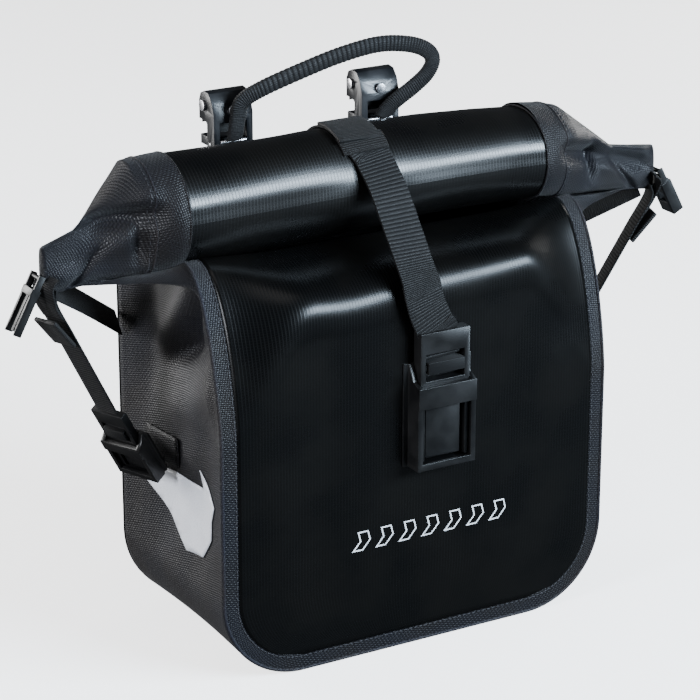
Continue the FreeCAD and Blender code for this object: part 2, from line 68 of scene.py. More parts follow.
def softbox(name, place, aim, width, height, power, tint):
    lamp = bpy.data.lights.new(name, "AREA")
    lamp.shape = "RECTANGLE"
    lamp.size, lamp.size_y = width, height
    lamp.energy = power
    lamp.color = tint
    holder = bpy.data.objects.new(name, lamp)
    bpy.context.scene.collection.objects.link(holder)
    holder.location = place
    holder.rotation_euler = (Vector(aim) - Vector(place)).to_track_quat("-Z", "Y").to_euler()


softbox("strip_front_right", (1.05, -1.62, 1.02), (0, 0, 0.25), 1.5, 0.54, 170, (0.70, 0.85, 1.0))
softbox("overhead", (-0.5, -0.5, 2.1), (0, 0, 0.2), 1.4, 1.0, 7, (1.0, 0.97, 0.94))
softbox("left_side", (-2.1, -0.55, 0.75), (-0.1, 0, 0.2), 0.5, 0.6, 56, (0.88, 0.92, 1.0))
softbox("behind", (-1.3, 1.8, 0.6), (0, 0, 0.2), 1.3, 0.9, 60, (1.0, 1.0, 1.0))
softbox("right_side", (2.2, 1.0, 0.6), (0.1, 0, 0.2), 0.9, 0.9, 26, (1.0, 0.99, 0.97))

world = bpy.data.worlds.new("studio")
bpy.context.scene.world = world
world.use_nodes = True
air = world.node_tree
seen = air.nodes.new("ShaderNodeLightPath")
shade = air.nodes.new("ShaderNodeMix")
shade.data_type = "RGBA"
shade.inputs[6].default_value = (0.055, 0.058, 0.064, 1)
shade.inputs[7].default_value = (2.2, 2.2, 2.2, 1)
air.links.new(seen.outputs["Is Camera Ray"], shade.inputs[0])
air.links.new(shade.outputs[2], air.nodes["Background"].inputs["Color"])


# ---------------------------------------------------------------- node groups and materials

def put(tree, kind, **settings):
    node = tree.nodes.new(kind)
    for key, value in settings.items():
        setattr(node, key, value)
    return node


def feed(tree, socket, value):
    if isinstance(value, bpy.types.NodeSocket):
        tree.links.new(value, socket)
    else:
        socket.default_value = value


def calc(tree, operation, *values):
    node = put(tree, "ShaderNodeMath", operation=operation)
    for socket, value in zip(node.inputs, values):
        feed(tree, socket, value)
    return node.outputs[0]


def remap(tree, value, low, high, to_low, to_high):
    node = put(tree, "ShaderNodeMapRange", interpolation_type="SMOOTHSTEP")
    for socket, entry in zip(node.inputs, (value, low, high, to_low, to_high)):
        feed(tree, socket, entry)
    return node.outputs[0]


def blend_colour(tree, share, first, second):
    node = put(tree, "ShaderNodeMix", data_type="RGBA")
    feed(tree, node.inputs[0], share)
    feed(tree, node.inputs[6], first)
    feed(tree, node.inputs[7], second)
    return node.outputs[2]


def new_group(name, inputs, outputs):
    tree = bpy.data.node_groups.new(name, "ShaderNodeTree")
    for label, kind, value in inputs:
        socket = tree.interface.new_socket(label, in_out="INPUT", socket_type=kind)
        if value is not None:
            socket.default_value = value
    for label, kind in outputs:
        tree.interface.new_socket(label, in_out="OUTPUT", socket_type=kind)
    return tree, tree.nodes.new("NodeGroupInput").outputs, tree.nodes.new("NodeGroupOutput").inputs


FLOAT, VECTOR, COLOUR = "NodeSocketFloat", "NodeSocketVector", "NodeSocketColor"


def scaled_axes(tree, vector, pitch):
    """The first two coordinates, counted in steps of the pitch."""
    ratio = calc(tree, "DIVIDE", 1.0, pitch)
    stretch = put(tree, "ShaderNodeVectorMath", operation="SCALE")
    feed(tree, stretch.inputs[0], vector)
    feed(tree, stretch.inputs[3], ratio)
    split = put(tree, "ShaderNodeSeparateXYZ")
    feed(tree, split.inputs[0], stretch.outputs[0])
    return split.outputs[0], split.outputs[1]


def make_weave_group():
    """Plain weave of flat yarns: each yarn is a rounded ridge that passes over and under."""
    tree, given, made = new_group("yarn_weave", [("Vector", VECTOR, None), ("Pitch", FLOAT, 0.0018)],
                                  [("Height", FLOAT), ("Over", FLOAT)])
    across, along = scaled_axes(tree, given["Vector"], given["Pitch"])
    cells = calc(tree, "ADD", calc(tree, "FLOOR", across), calc(tree, "FLOOR", along))
    over = calc(tree, "PINGPONG", cells, 1.0)
    ridges = [calc(tree, "ABSOLUTE", calc(tree, "SINE", calc(tree, "MULTIPLY", axis, pi)))
              for axis in (across, along)]
    crown = calc(tree, "MULTIPLY", ridges[0], ridges[1])
    warp = calc(tree, "MULTIPLY_ADD", ridges[0], 0.6, calc(tree, "MULTIPLY", crown, 0.4))
    weft = calc(tree, "MULTIPLY_ADD", ridges[1], 0.6, calc(tree, "MULTIPLY", crown, 0.4))
    mixed = put(tree, "ShaderNodeMix")
    feed(tree, mixed.inputs[0], over)
    feed(tree, mixed.inputs[2], warp)
    feed(tree, mixed.inputs[3], weft)
    feed(tree, made["Height"], mixed.outputs[0])
    feed(tree, made["Over"], over)
    return tree


def make_ripstop_group():
    """Fine raised squares of the reinforcing yarn under a smooth coating."""
    tree, given, made = new_group("ripstop_squares", [("Vector", VECTOR, None), ("Pitch", FLOAT, 0.0028)],
                                  [("Height", FLOAT)])
    across, along = scaled_axes(tree, given["Vector"], given["Pitch"])
    lines = []
    for axis in (across, along):
        lines.append(remap(tree, calc(tree, "PINGPONG", axis, 0.5), 0.04, 0.30, 1.0, 0.0))
    height = calc(tree, "MAXIMUM", lines[0], calc(tree, "MULTIPLY", lines[1], 0.28))
    feed(tree, made["Height"], height)
    return tree


def make_rib_group():
    """Webbing: cross ribs with a slight step from side to side."""
    tree, given, made = new_group(
        "webbing_ribs", [("Vector", VECTOR, None), ("Pitch", FLOAT, 0.0022), ("Yarn", FLOAT, 0.0009)],
        [("Height", FLOAT), ("Groove", FLOAT)])
    across, along = scaled_axes(tree, given["Vector"], given["Pitch"])
    rib = calc(tree, "ABSOLUTE", calc(tree, "SINE", calc(tree, "MULTIPLY", along, pi)))
    fine_across = scaled_axes(tree, given["Vector"], given["Yarn"])[0]
    yarn = calc(tree, "ABSOLUTE", calc(tree, "SINE", calc(tree, "MULTIPLY", fine_across, pi)))
    feed(tree, made["Height"], calc(tree, "MULTIPLY_ADD", yarn, 0.28, calc(tree, "POWER", rib, 0.6)))
    # Groove marks the hollows between the ribs, which the webbing material darkens as painted shade.
    feed(tree, made["Groove"], remap(tree, rib, 0.0, 0.55, 1.0, 0.0))
    return tree


def make_cloud_group():
    """Slow uneven patches, such as dust, handling marks and dye variation, and a fine speckle."""
    tree, given, made = new_group(
        "uneven_patches", [("Vector", VECTOR, None), ("Size", FLOAT, 0.05), ("Speckle", FLOAT, 0.0012)],
        [("Patches", FLOAT), ("Grain", FLOAT)])
    for label, size, detail in (("Patches", given["Size"], 4.0), ("Grain", given["Speckle"], 2.0)):
        noise = put(tree, "ShaderNodeTexNoise")
        feed(tree, noise.inputs["Vector"], given["Vector"])
        feed(tree, noise.inputs["Scale"], calc(tree, "DIVIDE", 1.0, size))
        noise.inputs["Detail"].default_value = detail
        feed(tree, made[label], remap(tree, noise.outputs["Fac"], 0.3, 0.7, 0.0, 1.0))
    return tree


groups = {"weave": make_weave_group(), "ripstop": make_ripstop_group(), "ribs": make_rib_group(),
          "patches": make_cloud_group()}


def start_material(name, **sockets):
    material = bpy.data.materials.new(name)
    material.use_nodes = True
    tree = material.node_tree
    surface = tree.nodes["Principled BSDF"]
    for label, value in sockets.items():
        surface.inputs[label.replace("_", " ")].default_value = value
    return material, tree, surface


def place_group(tree, key, vector, **values):
    node = put(tree, "ShaderNodeGroup", node_tree=groups[key])
    feed(tree, node.inputs["Vector"], vector)
    for label, value in values.items():
        feed(tree, node.inputs[label], value)
    return node.outputs


def raise_surface(tree, surface, *layers):
    """Chains bump layers, each a height, its depth in metres and its strength."""
    normal = None
    for height, depth, strength in layers:
        bump = put(tree, "ShaderNodeBump")
        bump.inputs["Strength"].default_value = strength
        bump.inputs["Distance"].default_value = depth
        feed(tree, bump.inputs["Height"], height)
        if normal is not None:
            feed(tree, bump.inputs["Normal"], normal)
        normal = bump.outputs[0]
    feed(tree, surface.inputs["Normal"], normal)


def coords(tree):
    node = put(tree, "ShaderNodeTexCoord")
    return node.outputs["UV"], node.outputs["Object"]


RIB_PITCH = 0.0021    # ribs of the handle, in its shape and in its material


def make_tarpaulin(name="coated_tarpaulin", depth=0.00009, shine=0.25, gloss=0.20):
    material, tree, surface = start_material(name, Specular_IOR_Level=gloss)
    pattern, solid = coords(tree)
    squares = place_group(tree, "ripstop", pattern, Pitch=0.0026)
    marks = place_group(tree, "patches", solid, Size=0.06, Speckle=0.0009)
    tone = blend_colour(tree, marks["Patches"], (0.0010, 0.0011, 0.0012, 1), (0.0021, 0.0019, 0.0016, 1))
    # Painted highlight: the raised ripstop lines are given a lighter, bluish tone.
    painted_line_highlight = calc(tree, "MULTIPLY", squares["Height"], 0.12)
    tone = blend_colour(tree, painted_line_highlight, tone, (0.0034, 0.0038, 0.0044, 1))
    feed(tree, surface.inputs["Base Color"], tone)
    worn = remap(tree, marks["Patches"], 0.0, 1.0, shine, shine + 0.06)
    feed(tree, surface.inputs["Roughness"], calc(tree, "MULTIPLY_ADD", squares["Height"], 0.09, worn))
    raise_surface(tree, surface, (marks["Grain"], 0.00003, 0.2), (squares["Height"], depth, 0.34))
    return material


def make_woven(name="ballistic_weave", pitch=0.0017, depth=0.00040, lift=1.0):
    material, tree, surface = start_material(name, Specular_IOR_Level=0.26, Sheen_Weight=0.06,
                                             Sheen_Roughness=0.4)
    pattern, solid = coords(tree)
    turned = put(tree, "ShaderNodeMapping")
    turned.inputs["Rotation"].default_value = (0, 0, radians(14))
    feed(tree, turned.inputs["Vector"], pattern)
    weave = place_group(tree, "weave", turned.outputs[0], Pitch=pitch)
    marks = place_group(tree, "patches", solid, Size=0.05, Speckle=0.0011)
    # lift scales all colours; above one it gives a lighter copy of the weave, which is painted highlight.
    dark, light, brown = [tuple(value * lift for value in shade) + (1,) for shade in
                          ((0.0026, 0.0028, 0.0050), (0.0066, 0.0066, 0.0104), (0.0064, 0.0048, 0.0048))]
    yarns = blend_colour(tree, weave["Over"], dark, light)
    faded = blend_colour(tree, marks["Patches"], yarns, brown)
    # Painted shade: the valleys between the yarns are darkened towards near-black.
    tone = blend_colour(tree, remap(tree, weave["Height"], 0.1, 0.65, 0.92, 0.0), faded,
                        (0.0015, 0.0015, 0.0022, 1))
    feed(tree, surface.inputs["Base Color"], tone)
    feed(tree, surface.inputs["Roughness"], remap(tree, weave["Height"], 0.0, 1.0, 0.70, 0.38))
    raise_surface(tree, surface, (marks["Grain"], 0.00008, 0.3), (weave["Height"], depth, 0.8))
    return material


def make_webbing(name="black_webbing", pitch=0.0020, base=(0.0030, 0.0029, 0.0031, 1)):
    material, tree, surface = start_material(name, Specular_IOR_Level=0.20, Sheen_Weight=0.04,
                                             Sheen_Roughness=0.5)
    pattern, solid = coords(tree)
    ribs = place_group(tree, "ribs", pattern, Pitch=pitch)
    marks = place_group(tree, "patches", solid, Size=0.03, Speckle=0.0008)
    wear = calc(tree, "MULTIPLY", marks["Patches"], 0.6)
    worn = blend_colour(tree, wear, base, (0.0064, 0.0058, 0.0056, 1))
    # Painted shade: the grooves between the ribs are darkened towards near-black.
    tone = blend_colour(tree, ribs["Groove"], worn, (0.0008, 0.0008, 0.001, 1))
    feed(tree, surface.inputs["Base Color"], tone)
    feed(tree, surface.inputs["Roughness"], remap(tree, marks["Grain"], 0.0, 1.0, 0.48, 0.62))
    raise_surface(tree, surface, (marks["Grain"], 0.00006, 0.4), (ribs["Height"], 0.00042, 0.9))
    return material


def make_plastic(name, dark, light, rough, grain=0.00004):
    material, tree, surface = start_material(name, Specular_IOR_Level=0.38)
    solid = coords(tree)[1]
    marks = place_group(tree, "patches", solid, Size=0.02, Speckle=0.0007)
    feed(tree, surface.inputs["Base Color"], blend_colour(tree, marks["Patches"], dark, light))
    feed(tree, surface.inputs["Roughness"], remap(tree, marks["Patches"], 0.0, 1.0, rough, rough + 0.12))
    raise_surface(tree, surface, (marks["Grain"], grain, 0.5))
    return material


def make_metal(name, dark, light, rough, metallic):
    material, tree, surface = start_material(name, Metallic=metallic)
    solid = coords(tree)[1]
    marks = place_group(tree, "patches", solid, Size=0.008, Speckle=0.0005)
    feed(tree, surface.inputs["Base Color"], blend_colour(tree, marks["Patches"], dark, light))
    feed(tree, surface.inputs["Roughness"], remap(tree, marks["Grain"], 0.0, 1.0, rough, rough + 0.14))
    raise_surface(tree, surface, (marks["Grain"], 0.00002, 0.4))
    return material


def make_reflective():
    """Grey retroreflective film: a bright fine honeycomb in a pale grey binder."""
    material, tree, surface = start_material("reflective_film", Specular_IOR_Level=0.5)
    solid = coords(tree)[1]
    cells = put(tree, "ShaderNodeTexVoronoi", feature="DISTANCE_TO_EDGE")
    cells.inputs["Scale"].default_value = 520.0
    feed(tree, cells.inputs["Vector"], solid)
    edge = remap(tree, cells.outputs["Distance"], 0.02, 0.14, 1.0, 0.0)
    marks = place_group(tree, "patches", solid, Size=0.03, Speckle=0.001)
    film = blend_colour(tree, marks["Patches"], (0.62, 0.63, 0.67, 1), (0.72, 0.73, 0.76, 1))
    feed(tree, surface.inputs["Base Color"], blend_colour(tree, calc(tree, "MULTIPLY", edge, 0.5), film,
                                                          (0.50, 0.51, 0.55, 1)))
    feed(tree, surface.inputs["Roughness"], remap(tree, edge, 0.0, 1.0, 0.34, 0.5))
    raise_surface(tree, surface, (edge, 0.00005, 0.3))
    return material


def make_floor():
    """Pale paper floor. What it gives back to the bag is kept low, so that the dark cloth stays dark."""
    material, tree, surface = start_material("studio_floor", Specular_IOR_Level=0.1, Roughness=0.8,
                                             Emission_Strength=1.0)
    solid = coords(tree)[1]
    marks = place_group(tree, "patches", solid, Size=0.9, Speckle=0.004)
    seen_by = put(tree, "ShaderNodeLightPath").outputs["Is Camera Ray"]
    paper = blend_colour(tree, marks["Patches"], (0.84, 0.84, 0.84, 1), (0.86, 0.86, 0.86, 1))
    feed(tree, surface.inputs["Base Color"], blend_colour(tree, seen_by, (0.07, 0.07, 0.07, 1), paper))
    feed(tree, surface.inputs["Emission Color"], blend_colour(tree, seen_by, (0.01, 0.01, 0.01, 1),
                                                              (2.1, 2.1, 2.1, 1)))
    return material


tarpaulin = make_tarpaulin()
rolled_tarpaulin = make_tarpaulin("rolled_tarpaulin", 0.00010, 0.25, 0.44)
woven = make_woven()
# Painted highlight: a copy of the weave with 2.4 times lighter colours, for the rounded seam beads.
highlight_seam_weave = make_woven("seam_weave_painted_highlight", 0.0012, 0.00030, 2.4)
webbing = make_webbing()
fine_webbing = make_webbing("fold_webbing", 0.0016, (0.0042, 0.0037, 0.0035, 1))
ribbed_webbing = make_webbing("ribbed_webbing", RIB_PITCH, (0.0050, 0.0050, 0.0056, 1))
buckle_plastic = make_plastic("buckle_plastic", (0.0022, 0.0022, 0.0024, 1),
                              (0.0040, 0.0038, 0.0038, 1), 0.36)
hook_plastic = make_plastic("hook_plastic", (0.0036, 0.0042, 0.0054, 1), (0.0070, 0.0076, 0.0092, 1), 0.30)
board_plastic = make_plastic("board_plastic", (0.006, 0.006, 0.0065, 1), (0.010, 0.010, 0.011, 1), 0.5,
                             0.0001)
rubber = make_plastic("liner_rubber", (0.014, 0.014, 0.014, 1), (0.022, 0.022, 0.022, 1), 0.7, 0.00008)
anodised = make_metal("black_anodised", (0.012, 0.012, 0.014, 1), (0.022, 0.022, 0.025, 1), 0.34, 0.6)
steel = make_metal("plated_steel", (0.50, 0.50, 0.53, 1), (0.70, 0.70, 0.72, 1), 0.24, 1.0)
reflective = make_reflective()
thread = make_plastic("grey_thread", (0.020, 0.020, 0.024, 1), (0.036, 0.034, 0.038, 1), 0.6, 0.0001)
white_print = make_plastic("white_print", (0.66, 0.66, 0.67, 1), (0.76, 0.76, 0.77, 1), 0.45, 0.00003)

# ---------------------------------------------------------------- mesh helpers


def ease(low, high, value):
    share = min(max((value - low) / (high - low), 0.0), 1.0)
    return share * share * (3 - 2 * share)


def mix(first, second, share):
    return first + (second - first) * share


def along_line(points, value):
    """Height of a run of straight pieces through (place, height) points."""
    if value <= points[0][0]:
        return points[0][1]
    for (start, low), (stop, high) in zip(points, points[1:]):
        if value <= stop:
            return mix(low, high, (value - start) / (stop - start))
    return points[-1][1]


def hump(centre, spread, value):
    return exp(-((value - centre) / spread) ** 2)


def flatter(value, power):
    """A sine or cosine with a fuller curve, so that the round outline drawn with it gets flatter sides."""
    return abs(value) ** power * (1 if value > 0 else -1)


def bezier(first, second, third, last, share):
    rest = 1 - share
    return (first * rest ** 3 + second * 3 * rest * rest * share + third * 3 * rest * share * share
            + last * share ** 3)


def add_object(name, bm, material):
    mesh = bpy.data.meshes.new(name)
    bm.to_mesh(mesh)
    bm.free()
    mesh.materials.append(material)
    piece = bpy.data.objects.new(name, mesh)
    bpy.context.scene.collection.objects.link(piece)
    mesh.shade_smooth()
    return piece


def turn_outwards(bm, inside):
    bm.normal_update()
    total = sum(face.normal.dot(face.calc_center_median() - inside) * face.calc_area() for face in bm.faces)
    if total < 0:
        bmesh.ops.reverse_faces(bm, faces=bm.faces[:])


def grid(columns, rows, place, size):
    """A square grid laid in space by place(u, v), with its pattern map in metres."""
    bm = bmesh.new()
    layer = bm.loops.layers.uv.new("pattern")
    bmesh.ops.create_grid(bm, x_segments=columns, y_segments=rows, size=0.5, calc_uvs=True)
    for face in bm.faces:
        for loop in face.loops:
            loop[layer].uv = (loop[layer].uv[0] * size[0], loop[layer].uv[1] * size[1])
    for vertex in bm.verts:
        vertex.co = place(vertex.co.x + 0.5, vertex.co.y + 0.5)
    return bm


def thicken(piece, thickness, offset):
    skin = piece.modifiers.new("thickness", "SOLIDIFY")
    skin.thickness, skin.offset = thickness, offset


def round_rim(piece, width, segments, degrees, harden=False):
    rim = piece.modifiers.new("rim", "BEVEL")
    rim.width, rim.segments = width, segments
    rim.limit_method, rim.angle_limit = "ANGLE", radians(degrees)
    rim.harden_normals = harden


def settle(piece):
    """Applies the piece's modifiers."""
    bpy.context.view_layer.update()
    shape = piece.evaluated_get(bpy.context.evaluated_depsgraph_get())
    mesh = bpy.data.meshes.new_from_object(shape)
    piece.modifiers.clear()
    piece.data = mesh
    return piece


def cloth_sheet(name, columns, rows, place, size, inside, material, thickness=0.0, closed=False):
    bm = grid(columns, rows, place, size)
    if closed:
        bmesh.ops.remove_doubles(bm, verts=bm.verts[:], dist=1e-5)
    turn_outwards(bm, Vector(inside))
    piece = add_object(name, bm, material)
    if thickness:
        thicken(piece, thickness, -1)
        settle(piece)
    return piece


def smooth_path(points, share):
    """Place on a smooth curve through the points."""
    spans = len(points) - 1
    span = min(int(share * spans), spans - 1)
    local = share * spans - span
    first, second = points[span], points[span + 1]
    before = points[span - 1] if span else first * 2 - second
    after = points[span + 2] if span + 2 <= spans else second * 2 - first
    return bezier(first, first + (second - before) / 6, second - (after - first) / 6, second, local)


def path_length(path, steps):
    places = [smooth_path(path, i / steps) for i in range(steps + 1)]
    return sum((after - before).length for before, after in zip(places, places[1:]))


def strap(name, points, width, thickness, side, material, rows, nodes=(), body=None, across=None):
    """Flat webbing along a smooth path. side gives the direction of its width, or one for each point."""
    path = [Vector(point) for point in points]
    if not isinstance(side[0], (tuple, Vector)):
        side = [side] * len(path)
    sides = [Vector(way).normalized() for way in side]

    def place(u, v):
        here = smooth_path(path, v)
        along = smooth_path(path, min(v + 0.01, 1.0)) - smooth_path(path, max(v - 0.01, 0.0))
        wide = smooth_path(sides, v)
        wide = (wide - along * (wide.dot(along) / along.length_squared)).normalized()
        return here + wide * ((2 * u - 1) * width / 2)

    bm = grid(6, rows, place, (width, path_length(path, 60)))
    bm.normal_update()
    piece = add_object(name, bm, material)
    thicken(piece, thickness, 0)
    round_rim(piece, thickness * 0.3, 2, 50)
    return finish_piece(settle(piece), nodes, body, across)


def finish_piece(piece, nodes=(), body=None, across=None):
    if across:
        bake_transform(piece)
    elif body:
        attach(piece, body)
    if nodes:
        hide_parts(*nodes)
    return piece


# ---------------------------------------------------------------- the bag's shell

HALF = 0.160          # half the body's width
FACE = -0.0778        # seam of the front panel
REAR = 0.0788         # seam of the back
CORNER = 0.065        # lower corners of the outline
GIRTH = 0.372         # front panel from its lower edge to where it goes under the roll
TAPE = 0.0145         # width of the border tape
BACK_CORNER = 0.018   # upper corners of the back
SIDE_RUN = GIRTH - CORNER
ARC_RUN = CORNER * pi / 2
FOOT_RUN = 2 * (HALF - CORNER)
EDGE_RUN = 2 * SIDE_RUN + 2 * ARC_RUN + FOOT_RUN
SIDES = (("left", -1), ("right", 1))
INSIDE = (0, 0, 0.15)  # a place inside the body, which its cloth faces away from
# Cloth that joins the body to the lifting roll: the two bodies, and where such cloth would start to follow
# the roll and follow it fully. None of these values is read; such cloth keeps its place.
LIFTED = ("bag", "roll_top", (0, 0, 0.268), (0, 0, 0.2985))


def front_point(x, run):
    """Place on the front cover: up the face, over the shoulder and back under the roll."""
    end = ease(0.085, HALF, abs(x))
    # The shoulder sags left of the strap and rises right of it.
    sag = -0.0055 * hump(-0.068, 0.045, x) + 0.0035 * hump(0.085, 0.05, x)
    straight = mix(0.256 + sag, 0.185, end)
    # The panel bulges, with a dent and a low ridge near its upper right corner, and ripples a little.
    crown = (1 - (abs(x) / HALF) ** 3) * (1 - abs(1 - run / 0.19) ** 3 if run < 0.19 else 1.0)
    face = FACE - 0.0042 * crown
    face += 0.0026 * hump(0.122, 0.016, x) * hump(0.232, 0.022, run)
    face -= 0.0008 * hump(0.094, 0.016, x) * hump(0.205, 0.04, run)
    ripple = ease(0.02, 0.09, abs(x - 0.011)) * ease(0.0, 0.08, run) * (1 - end)
    face += 0.0007 * sin(x * 70 + 1.2) * ripple
    if run <= straight:
        return Vector((x, face, run))
    share = (run - straight) / (GIRTH - straight)
    points = [Vector((x, face, straight)),
              Vector((x, mix(-0.0838, -0.0745, end), mix(0.283 + sag, 0.225, end))),
              Vector((x, mix(-0.0750, -0.0560, end), mix(0.2925 + sag * 0.7, 0.3100, end))),
              Vector((x, mix(-0.0180, -0.0240, end), mix(0.2990, 0.3040, end)))]
    return bezier(*points, share)


def back_point(x, run):
    """Place on the rear edge of the gusset, and over to the roll from behind."""
    straight = 0.262
    if run <= straight:
        return Vector((x, REAR, run))
    share = (run - straight) / (GIRTH - straight)
    return bezier(Vector((x, REAR, straight)), Vector((x, REAR - 0.001, 0.286)),
                  Vector((x, 0.058, 0.2900)), Vector((x, 0.0240, 0.3040)), share)


def edge_place(share, inset):
    """Place in the flat pattern along its edge, from the top left round the foot to the top right."""
    if share > 0.5:
        x, run = edge_place(1 - share, inset)
        return -x, run
    gone = share * EDGE_RUN
    if gone < SIDE_RUN:
        return -(HALF - inset), GIRTH - gone
    if gone < SIDE_RUN + ARC_RUN:
        turn = (gone - SIDE_RUN) / CORNER
        return (-(HALF - CORNER) - (CORNER - inset) * cos(turn),
                CORNER - (CORNER - inset) * sin(turn))
    return -(HALF - CORNER) + gone - SIDE_RUN - ARC_RUN, inset


def inward(share):
    """Unit direction from the edge of the outline towards the middle of the bag."""
    x, run = edge_place(share, 0.0)
    x_in, run_in = edge_place(share, 0.02)
    return Vector((x_in - x, 0, run_in - run)).normalized()


def gusset_point(share, depth):
    """Place on the side and bottom band: depth runs from the front seam to the back."""
    x, run = edge_place(share, 0.0)
    front, rear = front_point(x, run), back_point(x, run)
    place = front.lerp(rear, depth)
    side = -1 if x < 0 else 1
    upright = ease(0.02, 0.11, run)
    waist = sin(pi * depth) ** 0.9
    rise = place.z
    top_fade = 1 - ease(0.298, 0.322, run)
    pinch = (0.0022 + 0.0085 * upright + 0.0055 * ease(0.15, 0.245, run)) * waist * top_fade
    # The wall is gathered under the roll: a steep valley and ridge beside the front edge, then a slanting
    # valley and ridge below them, a shallow valley near the back, and a slight ripple.
    valley = mix(0.55, 0.19, (rise - 0.222) / 0.062)
    steep = ease(0.205, 0.235, rise) * top_fade
    pinch += 0.0110 * steep * hump(valley, 0.075, depth)
    pinch -= 0.0040 * steep * hump(valley + 0.17, 0.090, depth)
    near_front = ease(0.0, 0.10, depth) * (1 - ease(0.50, 0.72, depth))
    slant = rise - (0.2576 - 0.065 * depth)
    pinch += 0.0045 * near_front * hump(0.0, 0.009, slant)
    pinch -= 0.0060 * near_front * hump(-0.036, 0.020, slant)
    pinch += 0.0034 * top_fade * ease(0.14, 0.24, rise) * hump(0.80, 0.07, depth)
    pinch += 0.0009 * sin(17 * depth + 30 * run) * waist * upright * top_fade
    place += inward(share) * pinch
    # Above the wall the middle of the band swings out under the roll's flattened end.
    flare = ease(0.306, 0.326, run)
    hat = (1 - abs(2 * depth - 1)) ** 1.7
    place.x += side * 0.084 * hat * flare
    place.z = mix(place.z, 0.2900, hat ** 0.5 * flare)
    return place


def make_front():
    inner = TAPE - 0.0015

    def panel(u, v):
        run = mix(inner, GIRTH, v ** 0.9)
        width = HALF - inner
        if run < CORNER:
            radius = CORNER - inner
            width = HALF - CORNER + sqrt(max(radius * radius - (CORNER - run) ** 2, 0.0))
        return front_point((2 * u - 1) * width, run) + Vector((0, -0.0006, 0.0004 * ease(0.2, 0.3, run)))

    cover = cloth_sheet("front_cover", 96, 120, panel, (2 * HALF, GIRTH), INSIDE, tarpaulin, 0.0007)
    finish_piece(cover, ("front_panel", "front_collar"), across=LIFTED)

    def border(u, v):
        x, run = edge_place(u, v * TAPE)
        return front_point(x, run)

    tape = cloth_sheet("front_border", 260, 8, border, (EDGE_RUN, TAPE), INSIDE, woven, 0.0009)
    finish_piece(tape, ("front_border_tape",), across=LIFTED)

    def bead(u, v):
        """Welded edge where front and gusset meet."""
        x, run = edge_place(u, 0.0018)
        centre = front_point(x, run)
        across = inward(u)
        turn = 2 * pi * v
        return centre - across * 0.0004 + (across * cos(turn) + Vector((0, 1, 0)) * sin(turn)) * 0.0012

    rim = cloth_sheet("front_seam_bead", 260, 8, bead, (EDGE_RUN, 0.007), INSIDE, highlight_seam_weave, closed=True)
    finish_piece(rim, across=LIFTED)


def make_gusset():
    band = cloth_sheet("gusset", 320, 44, gusset_point, (EDGE_RUN, 0.160), INSIDE, woven, 0.0009)
    finish_piece(band, ("gusset_band",), across=LIFTED)


def make_back():
    low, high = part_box("back_panel")

    def panel(u, v):
        z = mix(low.z, high.z, v ** 0.9)
        half = HALF
        if z - low.z < CORNER:
            half = HALF - CORNER + sqrt(max(CORNER ** 2 - (CORNER - z + low.z) ** 2, 0.0))
        if high.z - z < BACK_CORNER:
            rise = BACK_CORNER - high.z + z
            half = min(half, HALF - BACK_CORNER + sqrt(max(BACK_CORNER ** 2 - rise ** 2, 0.0)))
        x = (2 * u - 1) * half
        return Vector((x, high.y - 0.0002 + 0.0006 * sin(40 * x) * sin(34 * z), z))

    outer = cloth_sheet("back_cover", 60, 60, panel, (2 * HALF, 0.32), INSIDE, tarpaulin, 0.0016)
    finish_piece(outer, ("back_panel",), body="bag")

    def collar(u, v):
        x = (2 * u - 1) * (HALF - 0.001)
        return back_point(x, mix(0.250, GIRTH, v)) + Vector((0, -0.0012, 0.0))

    rear = cloth_sheet("rear_collar_cloth", 60, 24, collar, (2 * HALF, 0.122), INSIDE, tarpaulin, 0.0007)
    finish_piece(rear, ("rear_collar",), across=LIFTED)


# ---------------------------------------------------------------- the roll

AXIS = 0.338          # height of the roll's axis
ROLL = 0.0398         # radius of the roll
STRAP_X = -0.018      # middle of the centre strap, on the roll
ROLL_FROM, ROLL_TO = -0.160, 0.132       # the glossy length of the roll
SEAM = {-1: -ROLL_FROM, 1: ROLL_TO}      # how far out the glossy cloth goes on each side
REACH = 0.2520                           # how far out the flattened ends go
# How much the roll's axis droops, and how high its cloth stands above the axis, along its length.
ROLL_DROP = [(-0.15, -0.0040), (-0.05, -0.0024), (0.0, -0.0016), (0.05, -0.0011), (0.10, -0.0018),
             (0.15, -0.0040)]
ROLL_HIGH = [(-0.15, 0.0396), (-0.05, 0.0391), (0.0, 0.0381), (0.05, 0.0367), (0.10, 0.0352),
             (0.15, 0.0336)]


def on_drum(x, turn, out=0.0):
    """Place on the roll's cloth. The turn starts at the front and rises; out stands off the cloth."""
    # The cloth is uneven, except where the strap holds it down, and has a crease low on the front.
    free = 1 - hump(STRAP_X, 0.030, x)
    high = along_line(ROLL_HIGH, x)
    deep = mix(high, ROLL, 0.75)
    swell = 0.0009 * sin(9 * x + 1.0 + 2 * turn) * free + 0.0006 * sin(31 * x - 3 * turn) * free
    swell -= 0.0006 * hump(radians(8), radians(7), turn) * free + 0.0005 * hump(STRAP_X, 0.022, x)
    swell += out
    middle = AXIS + along_line(ROLL_DROP, x)
    return Vector((x, -(deep + swell) * cos(turn), middle + (high + swell) * sin(turn)))


def make_roll():
    def middle(u, v):
        return on_drum(mix(ROLL_FROM, ROLL_TO, u), 2 * pi * v)

    drum = cloth_sheet("roll_middle", 150, 120, middle, (ROLL_TO - ROLL_FROM, 2 * pi * ROLL),
                       (0, 0, AXIS), rolled_tarpaulin, closed=True)
    finish_piece(drum, ("roll", "closure_batten"), body="roll_top")


